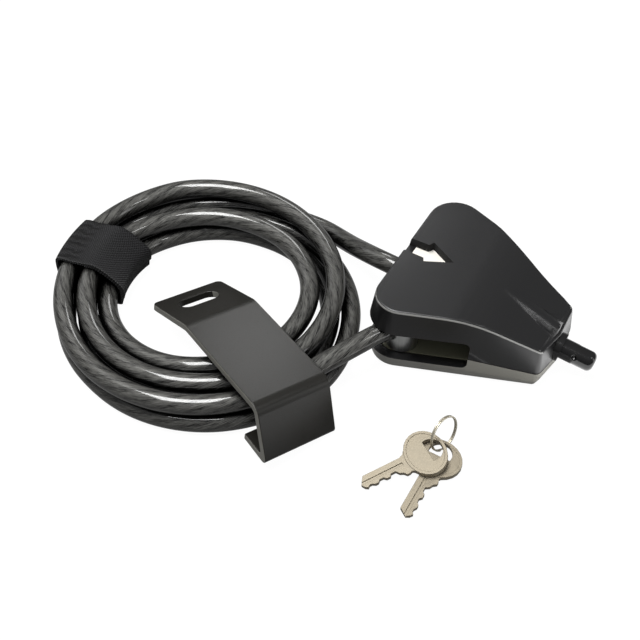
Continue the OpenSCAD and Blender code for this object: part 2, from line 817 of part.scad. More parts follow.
function left_of(a, b) = [a[1] - b[1], b[0] - a[0]] / norm(b - a);
function side_point(p, i, t) =
  i == 0 ? p[0] + t * left_of(p[0], p[1])
  : i == len(p) - 1 ? p[i] + t * left_of(p[i - 1], p[i])
  : let (a = left_of(p[i - 1], p[i]))
    let (b = left_of(p[i], p[i + 1]))
    p[i] + t * (a + b) / (1 + a * b);
// A strip of thickness t on the right of an open line.
function strip(p, t) = concat(p, [for (i = [len(p) - 1:-1:0]) side_point(p, i, -t)]);

bracket_flange = 15;
bracket_inner = 0.26 - 1.571 * bracket_t;
bracket_profile = concat(
  [for (i = [0:len(bracket_line) - 2]) bracket_line[i]],
  [for (a = [25:-23:-90]) [-2.88, 4.8] + 2 * [cos(a), sin(a)]],
  [
    [-bracket_flange, 2.8], [-bracket_flange, 2.8 + bracket_t], [bracket_inner - 1.26, 2.8 + bracket_t],
    [bracket_inner - 0.58, 3.17 + bracket_t], [bracket_inner - 0.53, 3.94 + bracket_t]
  ],
  [for (i = [len(bracket_line) - 2:-1:0]) side_point(bracket_line, i, -bracket_t)]
);

module bracket() {
  h = bracket_w / 2;
  c = slot_corner;
  s0 = bracket_line[0][0] - 4;
  color("#54534e")
    translate(bracket_foot + [0, 0, bracket_rise])
      rotate([0, 0, bracket_turn])
        rotate([bracket_roll, 0, 0])
          difference() {
            intersection() {
              rotate([90, 0, 0]) linear_extrude(bracket_w, center = true) polygon(bracket_profile);
              translate([0, 0, -5])
                linear_extrude(50)
                  polygon(concat(
                    [for (a = [180:15:270]) [s0 + 4 + c + c * cos(a), c - h + c * sin(a)]],
                    [[5, -h - 1], [5, h + 1]],
                    [for (a = [90:15:180]) [s0 + 4 + c + c * cos(a), h - c + c * sin(a)]]
                  ));
            }
            // The slot, punched square through the sloping end.
            translate([slot_s, 0, slot_z])
              rotate([0, -slot_tilt, 0]) {
                for (s = [-1, 1])
                  translate([0, s * (slot_len - slot_w) / 2, -2 * bracket_t])
                    cylinder(d = slot_w, h = 4 * bracket_t, $fn = round_fn);
                box([-slot_w / 2, slot_w / 2], [(slot_w - slot_len) / 2, (slot_len - slot_w) / 2],
                  [-2 * bracket_t, 2 * bracket_t]);
              }
          }
}

blade_y = blade_w / 2;
blade_len = key_len - 15.6;
// The blade's outline, as shares of its length and heights: back and shoulder, then the cuts.
blade_back = [[0, -0.2], [0.11, blade_y], [0.91, blade_y], [1, 3.4]];
blade_cuts = [
  [1.01, -4.2], [0.95, -4.6], [0.89, -4.6], [0.84, -3.4], [0.77, -blade_y], [0.72, -1.4], [0.62, -1.4],
  [0.58, -2.4], [0.5, -2.4], [0.45, -1.5], [0.37, -1.5], [0.32, -2.4], [0.26, -2.4], [0.2, -1.7],
  [0.14, -1.7], [0.1, -2.4], [0.04, -1.6]
];
key_outline = concat(
  [for (p = blade_back) [p[0] * blade_len, p[1]]],
  [for (a = [150:-15:-150]) [bow_x + bow_len * cos(a), bow_r * sin(a)]],
  [for (p = blade_cuts) [p[0] * blade_len, p[1]]]
);

module key_hole() {
  polygon([for (a = [0:12:348])
    [hole_x + max(hole_r * cos(a), -hole_flat), hole_r * sin(a)]]);
}

module key_solid() {
  difference() {
    union() {
      linear_extrude(key_t) polygon(key_outline);
      // Raised rim round the bow's edge and the hole, on both faces.
      translate([0, 0, -rim_h])
        linear_extrude(key_t + 2 * rim_h)
          difference() {
            polygon([for (a = [0:15:345]) [bow_x + bow_len * cos(a), bow_r * sin(a)]]);
            polygon([for (a = [0:15:345]) [bow_x + (bow_len - 1.1) * cos(a), (bow_r - 1.1) * sin(a)]]);
          }
    }
    translate([0, 0, -2]) linear_extrude(key_t + 4) key_hole();
    // Milled groove along the blade.
    translate([-1, -0.5, key_t - 0.5]) cube([0.97 * blade_len, 1.1, 2]);
  }
}

// A key lies on its tip and hangs by its hole.
module place_key(hole, turn) {
  rise = asin((hole[2] - tip_z) / hole_x);
  translate(hole) rotate([0, 0, turn]) rotate([0, -rise, 0]) translate([-hole_x, 0, -key_t / 2]) children();
}

module key_1() {
  color("#bdb19d") place_key(key_1_hole, key_1_turn) key_solid();
}

module key_2() {
  color("#bdb19d") place_key(key_2_hole, key_2_turn) key_solid();
}

module split_ring() {
  color("#b8b6ae")
    translate(ring_c)
      rotate([0, ring_tilt, ring_turn])
        for (s = [-1, 1])
          translate([0, 0, s * ring_wire * 0.98])
            rotate_extrude($fn = round_fn)
              translate([ring_r, 0])
                circle(r = ring_wire, $fn = 16);
}

top_shell();
bottom_shell();
arrow_plate();
floor_plate();
shell_screws();
nose_collar();
swivel_barrel();
swivel_ferrule();
lock_body();
locking_finger();
finger_spring();
cylinder_housing();
chamber_cover();
key_plug();
key_pins();
driver_pins();
pin_springs();
plug_clip();
plug_tail();
cable_inner();
cable_end_tip();
cable_far_lead();
cable_coil();
cable_near_lead();
cinch_strap();
bracket();
key_1();
key_2();
split_ring();
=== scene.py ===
# An adjustable cable lock: a wedge-shaped housing that a coated steel cable runs through, the cable's
# coil held by a fabric strap, a steel wall bracket that lies over the coil, and two keys on a ring.
import bmesh
import bpy
import math
import numpy as np
from mathutils import Matrix, Vector
from mathutils.bvhtree import BVHTree


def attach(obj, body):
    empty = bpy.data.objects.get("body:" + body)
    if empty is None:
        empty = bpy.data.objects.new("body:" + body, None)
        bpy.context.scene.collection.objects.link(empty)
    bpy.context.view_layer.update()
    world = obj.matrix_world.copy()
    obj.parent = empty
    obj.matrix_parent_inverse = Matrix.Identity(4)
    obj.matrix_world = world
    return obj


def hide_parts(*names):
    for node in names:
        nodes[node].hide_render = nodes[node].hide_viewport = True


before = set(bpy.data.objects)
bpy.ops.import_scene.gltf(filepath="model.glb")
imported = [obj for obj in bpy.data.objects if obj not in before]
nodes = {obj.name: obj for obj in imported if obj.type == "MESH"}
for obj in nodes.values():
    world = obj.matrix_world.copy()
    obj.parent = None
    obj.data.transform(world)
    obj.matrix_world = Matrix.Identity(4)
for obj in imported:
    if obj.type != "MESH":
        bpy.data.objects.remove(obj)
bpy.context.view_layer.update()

MM = 0.001


# ---- Camera -------------------------------------------------------------------------------------
# A longish lens, high in front of the lock and to its right, looks down at about fifty degrees. The
# whole object fits the square frame.
eye = Vector((75.1, -256.2, 315.9)) * MM
aim = Vector((-57.5, -26.6, 0)) * MM
camera = bpy.data.objects.new("camera", bpy.data.cameras.new("camera"))
bpy.context.scene.collection.objects.link(camera)
camera.data.lens = 56.25
camera.data.sensor_width = 36
camera.data.clip_start = 0.01
camera.location = eye
camera.rotation_euler = (aim - eye).to_track_quat("-Z", "Y").to_euler()
bpy.context.scene.camera = camera


# ---- Cable --------------------------------------------------------------------------------------
# Galvanised steel wire rope under a smoky clear vinyl coat, 8 mm outside. It leaves the swivel
# barrel, lies in a coil of two layers, and comes back through the housing to a moulded black tip.
def linear(code):
    """An sRGB hex colour as the linear colour that a shader takes."""
    parts = [int(code[i:i + 2], 16) / 255 for i in (0, 2, 4)]
    return tuple(c / 12.92 if c <= 0.04045 else ((c + 0.055) / 1.055) ** 2.4 for c in parts) + (1.0,)


def put(tree, kind, inputs=None, **settings):
    """Adds a node with its settings, and its inputs as values or links. A node gives its first output."""
    node = tree.nodes.new(kind)
    for name, value in settings.items():
        setattr(node, name, value)
    for name, value in (inputs or {}).items():
        if isinstance(value, bpy.types.Node):
            value = value.outputs[0]
        if isinstance(value, bpy.types.NodeSocket):
            tree.links.new(value, node.inputs[name])
        else:
            node.inputs[name].default_value = value
    return node


def finish_of(name, **inputs):
    """A new material's node tree and its shader, with the given numbers on the shader's sockets."""
    material = bpy.data.materials.new(name)
    material.use_nodes = True
    tree = material.node_tree
    tree.nodes.clear()
    shader = put(tree, "ShaderNodeBsdfPrincipled", {k.replace("_", " "): v for k, v in inputs.items()})
    put(tree, "ShaderNodeOutputMaterial", {"Surface": shader})
    return material, tree, shader


def mesh_object(name, points, faces, smooth=True):
    """A mesh object at the origin, from points in metres."""
    mesh = bpy.data.meshes.new(name)
    mesh.from_pydata([tuple(p) for p in points], [], [tuple(f) for f in faces])
    mesh.update()
    if smooth:
        mesh.shade_smooth()
    piece = bpy.data.objects.new(name, mesh)
    bpy.context.scene.collection.objects.link(piece)
    return piece


# The route's values are in millimetres, and the coil's radius and height are given by its angle in degrees.
CABLE_D = 8.0
COIL_C = (-101, -43.9)
COIL_TURN = 30
COIL_A0, COIL_A1 = 60, 1735
COIL_LOW, COIL_HIGH = 4.05, 12.75
COIL_RADIUS = [
    (60, 59.8), (90, 58), (150, 58.3), (225, 57.4), (275, 60.4), (320, 62.6), (355, 59.4),
    (420, 51.3), (450, 49.5), (510, 49.7), (585, 48.9), (635, 51.8), (680, 54), (715, 50.9),
    (780, 42.5), (810, 41), (870, 41.2), (950, 40.2), (990, 40.2), (1040, 42.2), (1075, 42.6),
    (1110, 41.4), (1145, 40.2), (1190, 42), (1235, 47.2), (1260, 48.4), (1350, 48.8), (1480, 54.6),
    (1545, 60.2), (1600, 58), (1640, 57.2), (1735, 59),
]
COIL_Z = [(60, COIL_LOW), (840, COIL_LOW), (1010, COIL_HIGH), (1735, COIL_HIGH)]
COIL_STEP = 2.5
STRAP_A = 159
STRAP_T = 1.0
FAR_POINTS = [(-45, 0.8, 18), (-54, 4.5, 14.5), (-62.5, 9.5, 9.5), (-71, 13.8, 6), (-80, 16.6, 4.5)]
NEAR_POINTS = [(-44.3, -64.5, 13.4), (-38.8, -53.5, 14.7), (-32.5, -42.3, 15.9)]
PASSAGE_Z, PASSAGE_TILT = 14.8, math.radians(5.5)
SWIVEL = np.array((-21.5, -24.5, 16.5))
SWIVEL_WAY = np.array((math.cos(math.radians(-126)), math.sin(math.radians(-126)), 0))
BARREL_REACH = 6.9
PASSAGE_START, NOSE_X = -36, 34
ROUTE_STEP, ROUTE_EASING = 1.5, 14


def passage_at(x):
    """The point of the cable passage's axis that is x from the origin, in mm."""
    return np.array((x * math.cos(PASSAGE_TILT), 0, PASSAGE_Z - x * math.sin(PASSAGE_TILT)))


def strap_lift(a):
    """How far the strap's layer under the coil lifts the cable at an angle of the coil, in mm."""
    return STRAP_T * min(1, 1.45 * max(0, math.cos(math.radians(a - STRAP_A))) ** 8)


def coil_at(a):
    """The point of the coil at an angle in degrees, counted on from turn to turn."""
    radius = np.interp(a, *zip(*COIL_RADIUS))
    turn = math.radians(a + COIL_TURN)
    z = np.interp(a, *zip(*COIL_Z)) + strap_lift(a)
    return np.array((COIL_C[0] + radius * math.cos(turn), COIL_C[1] + radius * math.sin(turn), z))


def unit(v):
    """A vector's direction."""
    return v / np.linalg.norm(v)


def through(points, steps=8):
    """A smooth line through the points."""
    p = [np.array(q, float) for q in points]
    line = []
    for i in range(len(p) - 1):
        a, b, c, d = p[max(i - 1, 0)], p[i], p[i + 1], p[min(i + 2, len(p) - 1)]
        for k in range(steps):
            t = k / steps
            line.append(0.5 * (2 * b + (c - a) * t + (2 * a - 5 * b + 4 * c - d) * t ** 2
                               + (3 * b - a - 3 * c + d) * t ** 3))
    return line + [p[-1]]


def cable_route():
    """The cable's centreline in mm, from the swivel barrel to the tip, in even steps."""
    start = unit(coil_at(COIL_A0 + 1) - coil_at(COIL_A0))
    end = unit(coil_at(COIL_A1) - coil_at(COIL_A1 - 1))
    coil_start = coil_at(COIL_A0) - CABLE_D * start
    coil_end = coil_at(COIL_A1) + CABLE_D * end
    barrel = SWIVEL + BARREL_REACH * SWIVEL_WAY
    radius = CABLE_D / 2
    entry = passage_at(PASSAGE_START)
    along = passage_at(1) - passage_at(0)
    near = through([coil_end, coil_end + radius * end, *NEAR_POINTS, barrel + radius * SWIVEL_WAY, barrel])
    far = through([entry, entry - radius * along, *FAR_POINTS, coil_start - radius * start, coil_start])
    coil = [coil_at(a) for a in np.arange(COIL_A0, COIL_A1 + 1, COIL_STEP)]
    line = np.array([*near[::-1], *coil[::-1], *far[::-1], passage_at(0), passage_at(NOSE_X)])
    lengths = np.concatenate([[0], np.cumsum(np.linalg.norm(np.diff(line, axis=0), axis=1))])
    even = np.arange(0, lengths[-1], ROUTE_STEP)
    line = np.array([np.interp(even, lengths, line[:, k]) for k in range(3)]).T
    for _ in range(ROUTE_EASING):
        line[1:-1] = 0.25 * line[:-2] + 0.5 * line[1:-1] + 0.25 * line[2:]
    return line


def tube(name, line, radius, sides):
    """A closed round tube along a line, with a UV map of real lengths: round it, and along it."""
    line = np.array(line)
    way = np.gradient(line, axis=0)
    way /= np.linalg.norm(way, axis=1)[:, None]
    right = np.cross(way, (0, 0, 1))
    right /= np.linalg.norm(right, axis=1)[:, None]
    up = np.cross(right, way)
    turn = np.linspace(0, 2 * math.pi, sides, endpoint=False)
    rings = line[:, None] + radius * (np.cos(turn)[None, :, None] * right[:, None]
                                      + np.sin(turn)[None, :, None] * up[:, None])
    count = len(line)
    faces = []
    for i in range(count - 1):
        near, next_one = i * sides, (i + 1) * sides
        faces += [(near + k, next_one + k, next_one + (k + 1) % sides, near + (k + 1) % sides)
                  for k in range(sides)]
    faces += [tuple(range(sides)), tuple((count - 1) * sides + k for k in reversed(range(sides)))]
    piece = mesh_object(name, rings.reshape(-1, 3) * MM, faces)
    far = np.concatenate([[0], np.cumsum(np.linalg.norm(np.diff(line, axis=0), axis=1))]) * MM
    layer = piece.data.uv_layers.new(name="lay")
    girth = 2 * math.pi * radius * MM
    for f, face in enumerate(piece.data.polygons):
        for loop in face.loop_indices:
            ring, side = divmod(piece.data.loops[loop].vertex_index, sides)
            wraps = f < (count - 1) * sides and side == 0 and f % sides == sides - 1
            layer.data[loop].uv = ((sides if wraps else side) / sides * girth, far[ring])
    return piece


# Vinyl-coated wire rope: seven strands of small wires laid to the right. The coat is smooth, glossy
# and smoky, so the steel shows as broken grey streaks. Where the cable's turns lie close, shade is
# painted into the colour, darkening it. The streaks are drawn coarser than the wires, 3.6 mm long, so that
# they show.
LAY = 0.08
STRANDS = 7
GIRTH = math.pi * CABLE_D * MM
STREAK_LEN, STREAKS_ROUND = 0.0036, 14.0
rope, tree, shader = finish_of(
    "vinyl-coated wire rope", Metallic=0.3, Roughness=0.5, Coat_Weight=1.0, Coat_Roughness=0.08,
    Coat_Tint=linear("747473"), Coat_IOR=1.5)
place = put(tree, "ShaderNodeSeparateXYZ", {"Vector": put(tree, "ShaderNodeUVMap", uv_map="lay")})
around, along = place.outputs["X"], place.outputs["Y"]
laid = put(tree, "ShaderNodeMath", {0: along, 1: -2 * math.pi / LAY}, operation="MULTIPLY")
turn = put(tree, "ShaderNodeMath", {0: around, 1: 2 * math.pi / GIRTH, 2: laid}, operation="MULTIPLY_ADD")
strand_turn = put(tree, "ShaderNodeMath", {0: turn, 1: STRANDS / 2}, operation="MULTIPLY")
strand_wave = put(tree, "ShaderNodeMath", {0: strand_turn}, operation="SINE")
strand_height = put(tree, "ShaderNodeMath", {0: strand_wave}, operation="ABSOLUTE")
right = put(tree, "ShaderNodeMath", {0: turn}, operation="COSINE")
up = put(tree, "ShaderNodeMath", {0: turn}, operation="SINE")
spiral = put(tree, "ShaderNodeCombineXYZ", {
    "X": put(tree, "ShaderNodeMath", {0: right, 1: STREAKS_ROUND}, operation="MULTIPLY"),
    "Y": put(tree, "ShaderNodeMath", {0: up, 1: STREAKS_ROUND}, operation="MULTIPLY"),
    "Z": put(tree, "ShaderNodeMath", {0: along, 1: 1 / STREAK_LEN}, operation="MULTIPLY")})
wires = put(tree, "ShaderNodeTexNoise", {"Vector": spiral, "Scale": 1.0, "Detail": 3.0, "Roughness": 0.6})
tone = put(tree, "ShaderNodeMath", {0: strand_height, 1: 0.14, 2: wires}, operation="MULTIPLY_ADD")
# Painted shade: ambient occlusion darkens the rope's colour where its turns lie close.
gaps = put(tree, "ShaderNodeAmbientOcclusion", {"Distance": 0.009}, samples=8)
shade = put(tree, "ShaderNodeMapRange",
            {"Value": gaps.outputs["AO"], "From Min": 0.25, "From Max": 0.85, "To Min": 0.45})
ramp = put(tree, "ShaderNodeValToRGB",
           {"Fac": put(tree, "ShaderNodeMath", {0: tone, 1: shade}, operation="MULTIPLY")})
ramp.color_ramp.elements[0].color = linear("050505")
ramp.color_ramp.elements[0].position = 0.4
ramp.color_ramp.elements[1].color = linear("e2e1dc")
ramp.color_ramp.elements[1].position = 0.72
tree.links.new(ramp.outputs["Color"], shader.inputs["Base Color"])
relief = put(tree, "ShaderNodeBump", {"Height": tone, "Strength": 0.5, "Distance": 0.0004})
tree.links.new(relief.outputs["Normal"], shader.inputs["Normal"])

route = cable_route()
cable = tube("cable", route, CABLE_D / 2, 28)
cable.data.materials.append(rope)
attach(cable, "root")
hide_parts("cable_near_lead", "cable_coil", "cable_far_lead", "cable_inner")


# ---- Cable tip ----------------------------------------------------------------------------------
# A glossy black moulded boot closes the cable's free end. It has a small round dimple in its side,
# where the mould held it, and stands out of the nose.
TIP_R, TIP_LEN, TIP_DOME = 4.15, 15.5, 2.4
TIP_SIDES = 72
TIP_SUNK = 0.5
DIMPLE_X, DIMPLE_TURN = 7.6, math.radians(60)
DIMPLE_R, DIMPLE_DEPTH = 1.0, 0.9
DIMPLE_RIM_R, DIMPLE_RIM_H, DIMPLE_RIM_W = 1.25, 0.12, 0.3


def tip_shape():
    """Rings of the tip along the passage, the last ones round its end, pushed in at the dimple."""
    profile = [(0, 0), (0, TIP_R * 0.6)] + [(x, TIP_R) for x in np.linspace(0, TIP_LEN - TIP_DOME, 40)]
    profile += [(TIP_LEN - TIP_DOME + TIP_DOME * math.sin(a), TIP_R - TIP_DOME + TIP_DOME * math.cos(a))
                for a in np.linspace(0.1, math.pi / 2, 10)]
    profile += [(TIP_LEN, 1.2), (TIP_LEN - 0.15, 0.8), (TIP_LEN - 0.4, 0.4), (TIP_LEN - TIP_SUNK, 0)]
    sides = TIP_SIDES
    along = passage_at(1) - passage_at(0)
    up = np.array((math.sin(PASSAGE_TILT), 0, math.cos(PASSAGE_TILT)))
    side = np.array((0, 1, 0))
    points = []
    for x, r in profile[1:-1]:
        for k in range(sides):
            turn = 2 * math.pi * k / sides
            off = (turn - DIMPLE_TURN + math.pi) % (2 * math.pi) - math.pi
            gap = math.hypot(x - DIMPLE_X, TIP_R * off)
            sink = DIMPLE_DEPTH * max(0, 1 - (gap / DIMPLE_R) ** 2)
            sink -= DIMPLE_RIM_H * math.exp(-((gap - DIMPLE_RIM_R) / DIMPLE_RIM_W) ** 2)
            reach = r - (sink if r == TIP_R else 0)
            points.append(passage_at(NOSE_X + x) + reach * (math.cos(turn) * up - math.sin(turn) * side))
    rings = len(profile) - 2
    faces = []
    for i in range(rings - 1):
        near, next_one = i * sides, (i + 1) * sides
        faces += [(near + k, near + (k + 1) % sides, next_one + (k + 1) % sides, next_one + k)
                  for k in range(sides)]
    points += [passage_at(NOSE_X), passage_at(NOSE_X + TIP_LEN - TIP_SUNK)]
    faces += [(len(points) - 2, (k + 1) % sides, k) for k in range(sides)]
    last = (rings - 1) * sides
    faces += [(len(points) - 1, last + k, last + (k + 1) % sides) for k in range(sides)]
    return points, faces


# Soft black PVC, moulded against a polished tool: dark, with clear reflections and a faint haze.
soft_pvc, tree, shader = finish_of("moulded black PVC", Base_Color=linear("0b0b0c"), Roughness=0.15)
haze = put(tree, "ShaderNodeTexNoise", {"Vector": put(tree, "ShaderNodeTexCoord").outputs["Object"],
                                        "Scale": 900.0, "Detail": 3.0})
spread = put(tree, "ShaderNodeMapRange", {"Value": haze, "To Min": 0.1, "To Max": 0.2})
tree.links.new(spread.outputs["Result"], shader.inputs["Roughness"])

tip_points, tip_faces = tip_shape()
tip = mesh_object("cable_tip", np.array(tip_points) * MM, tip_faces)
tip.data.materials.append(soft_pvc)
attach(tip, "root")
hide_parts("cable_end_tip")


# ---- Strap --------------------------------------------------------------------------------------
# A black woven hook-and-loop strap, 24 mm wide, is wrapped once round the coil's bundle and on over
# its own start. Its ribbed end is pressed down on the plain first layer.
STRAP_W = 24
STRAP_ACROSS = 25
STRAP_IN0, STRAP_IN1 = 36.4, 62.6
STRAP_TOP = COIL_HIGH + CABLE_D / 2 + 2 * STRAP_T + 0.25


def strap_line():
    """The strap's middle line in its cross plane, as distance from the coil's centre and height."""
    t = STRAP_T
    inner = STRAP_IN0 - t / 2
    outer = STRAP_IN1 + t / 2
    top = STRAP_TOP - t / 2
    corners = [
        (50, top), (44.3, top), (inner + 0.2, 11.7), (inner, 3.4), (inner + 2.2, t / 2 + 0.25),
        (50, t / 2 + 0.2), (outer - 2.7, t / 2 + 0.25), (outer, 3.4), (outer, top - 2.6),
        (outer - 2.2, top), (56, top + 0.15), (50.5, top + 0.8 * t), (44, top + t),
        (inner - 0.9 * t, 11.9), (inner - 1.1 * t, 5.5),
    ]
    line = through([(x, z, 0) for x, z in corners], 10)
    return np.array(line)[:, :2]


def band(name, line, width, thick):
    """A flat band that follows a line in the cross plane and bends round the coil with it."""
    across = STRAP_ACROSS
    way = np.gradient(line, axis=0)
    way /= np.linalg.norm(way, axis=1)[:, None]
    out = np.stack([way[:, 1], -way[:, 0]], axis=1)
    turn = math.radians(STRAP_A + COIL_TURN)
    points = []
    for side in (0.5, -0.5):
        for x, z in line + side * thick * out:
            for k in range(across):
                y = width * (k / (across - 1) - 0.5)
                r = math.sqrt(x * x - y * y)
                points.append((COIL_C[0] + r * math.cos(turn) - y * math.sin(turn),
                               COIL_C[1] + r * math.sin(turn) + y * math.cos(turn), z))
    rows = len(line)
    half = rows * across
    faces = []
    for i in range(rows - 1):
        for k in range(across - 1):
            a = i * across + k
            faces.append((a, a + 1, a + across + 1, a + across))
            faces.append((half + a, half + a + across, half + a + across + 1, half + a + 1))
    rim = [i * across for i in range(rows)]
    rim += [(rows - 1) * across + k for k in range(1, across)]
    rim += [i * across + across - 1 for i in reversed(range(rows - 1))]
    rim += list(reversed(range(1, across - 1)))
    for i, a in enumerate(rim):
        b = rim[(i + 1) % len(rim)]
        faces.append((b, a, half + a, half + b))
    piece = mesh_object(name, np.array(points) * MM, faces)
    far = np.concatenate([[0], np.cumsum(np.linalg.norm(np.diff(line, axis=0), axis=1))]) * MM
    layer = piece.data.uv_layers.new(name="weave")
    for loop in piece.data.loops:
        row, k = divmod(loop.vertex_index % half, across)
        layer.data[loop.index].uv = (width * k / (across - 1) * MM, far[row])
    return piece, float(far[-1])


# Woven nylon: dull black yarns in a square mesh, 0.8 mm apart, drawn a little coarser than they are
# so that they show. The hook side's end is pressed into soft ribs, 3.6 mm apart, that wander a bit.
# Shade is painted into the colour, darker between the yarns and in the ribs' valleys.
YARN, RIB = 0.0011, 0.0036
RIB_MIDDLE, RIB_REACH = 0.070, 0.012
nylon, tree, shader = finish_of(
    "woven black nylon", Roughness=0.8, Specular_IOR_Level=0.3, Sheen_Weight=0.06, Sheen_Roughness=0.4)
place = put(tree, "ShaderNodeSeparateXYZ", {"Vector": put(tree, "ShaderNodeUVMap", uv_map="weave")})
across, along = place.outputs["X"], place.outputs["Y"]
warp_turn = put(tree, "ShaderNodeMath", {0: across, 1: 2 * math.pi / YARN}, operation="MULTIPLY")
warp = put(tree, "ShaderNodeMath", {0: warp_turn}, operation="SINE")
weft_turn = put(tree, "ShaderNodeMath", {0: along, 1: 2 * math.pi / YARN}, operation="MULTIPLY")
weft = put(tree, "ShaderNodeMath", {0: weft_turn}, operation="SINE")
woven = put(tree, "ShaderNodeMath", {0: warp, 1: weft}, operation="MULTIPLY")
mesh_height = put(tree, "ShaderNodeMath", {0: woven, 1: 0.5, 2: 0.5}, operation="MULTIPLY_ADD")
wander = put(tree, "ShaderNodeTexNoise", {"Vector": put(tree, "ShaderNodeTexCoord").outputs["Object"],
                                          "Scale": 260.0, "Detail": 2.0})
rib_way = put(tree, "ShaderNodeMath", {0: across, 1: 2 * math.pi / RIB}, operation="MULTIPLY")
rib_turn = put(tree, "ShaderNodeMath", {0: wander, 1: 7.0, 2: rib_way}, operation="MULTIPLY_ADD")
rib_wave = put(tree, "ShaderNodeMath", {0: rib_turn}, operation="SINE")
rib_shape = put(tree, "ShaderNodeMath", {0: rib_wave, 1: 0.5, 2: 0.5}, operation="MULTIPLY_ADD")
past_middle = put(tree, "ShaderNodeMath", {0: along, 1: RIB_MIDDLE}, operation="SUBTRACT")
off_middle = put(tree, "ShaderNodeMath", {0: past_middle}, operation="ABSOLUTE")
ribbed = put(tree, "ShaderNodeMapRange", {"Value": off_middle, "From Min": 0.6 * RIB_REACH,
                                          "From Max": RIB_REACH, "To Min": 1.0, "To Max": 0.0},
             interpolation_type="SMOOTHSTEP")
rib_height = put(tree, "ShaderNodeMath", {0: rib_shape, 1: ribbed}, operation="MULTIPLY")
rib_valley_shade = put(tree, "ShaderNodeMath", {0: ribbed, 1: rib_height}, operation="SUBTRACT")
height = put(tree, "ShaderNodeMath", {0: rib_height, 1: 2.2, 2: mesh_height}, operation="MULTIPLY_ADD")
# Painted shade: the colour is darker in the hollows between the yarns and in the ribs' valleys.
tone = put(tree, "ShaderNodeMath", {0: rib_valley_shade, 1: -0.5, 2: mesh_height}, operation="MULTIPLY_ADD")
ramp = put(tree, "ShaderNodeValToRGB", {"Fac": tone})
ramp.color_ramp.elements[0].color = linear("010101")
ramp.color_ramp.elements[0].position = 0.25
ramp.color_ramp.elements[1].color = linear("28282a")
ramp.color_ramp.elements[1].position = 0.9
tree.links.new(ramp.outputs["Color"], shader.inputs["Base Color"])
relief = put(tree, "ShaderNodeBump", {"Height": height, "Strength": 0.9, "Distance": 0.0004})
tree.links.new(relief.outputs["Normal"], shader.inputs["Normal"])

strap, strap_length = band("strap", strap_line(), STRAP_W, STRAP_T)
strap.data.materials.append(nylon)
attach(strap, "root")
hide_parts("cinch_strap")


# ---- Housing ------------------------------------------------------------------------------------
# Two shells moulded in black ABS with a fine matt texture; the lower one's sides carry painted light, a
# paler grey.
# Four screws hold them together from below. The cable's window is cut between them, and the joint
# runs down towards the nose. A blunt ridge rises out of the sloping top above the nose.
SPLIT_Z, SPLIT_SLOPE = 13.8, 0.155
JOINT_W = 0.3
MIDDLE = Vector((-0.005, 0))
RIM_Z, RIDGE_X, RIDGE_Y = 12, 20, 13
OPENING_R = 15
SLOPE_LOW, SLOPE_HIGH = (0, -24, 22), (33, 26, 34)
MERGE_REACH, FLAT_ENOUGH = 2e-6, math.radians(0.6)


def smooth_copy(node, name, body, edge=0.0, angle=32):
    """A copy of a CAD solid with its faces merged, its edges eased and its curves shaded smooth."""
    mesh = nodes[node].data.copy()
    mesh.name = name
    shape = bmesh.new()
    shape.from_mesh(mesh)
    bmesh.ops.remove_doubles(shape, verts=shape.verts, dist=MERGE_REACH)
    bmesh.ops.dissolve_limit(shape, angle_limit=FLAT_ENOUGH, verts=shape.verts, edges=shape.edges)
    shape.to_mesh(mesh)
    shape.free()
    mesh.materials.clear()
    piece = bpy.data.objects.new(name, mesh)
    bpy.context.scene.collection.objects.link(piece)
    mesh.shade_smooth()
    mesh.set_sharp_from_angle(angle=math.radians(angle))
    if edge:
        bevel = piece.modifiers.new("eased edges", "BEVEL")
        bevel.width = edge * MM
        bevel.segments = 2
        bevel.limit_method = "ANGLE"
        bevel.angle_limit = math.radians(angle)
        bevel.harden_normals = True
        bevel.use_clamp_overlap = False
    weighted = piece.modifiers.new("flat faces stay flat", "WEIGHTED_NORMAL")
    weighted.keep_sharp = True
    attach(piece, body)
    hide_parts(node)
    return piece


def part_line(piece, width, shade):
    """Breaks the outer edge where the two shells meet, so that a fine dark groove shows between them."""
    shape = bmesh.new()
    shape.from_mesh(piece.data)
    rim = []
    for edge in shape.edges:
        off = max(abs(v.co.z / MM - SPLIT_Z + SPLIT_SLOPE * v.co.x / MM) for v in edge.verts)
        if off < 0.04 and len(edge.link_faces) == 2:
            flat, wall = sorted(edge.link_faces, key=lambda f: -abs(f.normal.z))
            middle = (edge.verts[0].co + edge.verts[1].co) / 2
            outside = wall.normal.xy.dot(middle.xy - MIDDLE) > 0
            if outside and abs(flat.normal.z) > 0.9 and abs(wall.normal.z) < 0.5:
                rim.append(edge)
    groove = bmesh.ops.bevel(
        shape, geom=rim, offset=width * MM, segments=1, affect="EDGES", clamp_overlap=False)
    piece.data.materials.append(shade)
    for face in groove["faces"]:
        face.material_index = len(piece.data.materials) - 1
    shape.to_mesh(piece.data)
    shape.free()


def moulded(name, code, rough, shine=0.5):
    """ABS or nylon moulded against a spark-eroded tool: matt, with a grain of about 0.2 mm."""
    material, tree, shader = finish_of(
        name, Base_Color=linear(code), Roughness=rough, Specular_IOR_Level=shine)
    grain = put(tree, "ShaderNodeTexNoise", {"Vector": put(tree, "ShaderNodeTexCoord").outputs["Object"],
                                             "Scale": 4500.0, "Detail": 2.0})
    relief = put(tree, "ShaderNodeBump", {"Height": grain, "Strength": 0.12, "Distance": 0.0001})
    tree.links.new(relief.outputs["Normal"], shader.inputs["Normal"])
    spread = put(tree, "ShaderNodeMapRange",
                 {"Value": grain, "To Min": rough - 0.07, "To Max": rough + 0.07})
    tree.links.new(spread.outputs["Result"], shader.inputs["Roughness"])
    return material


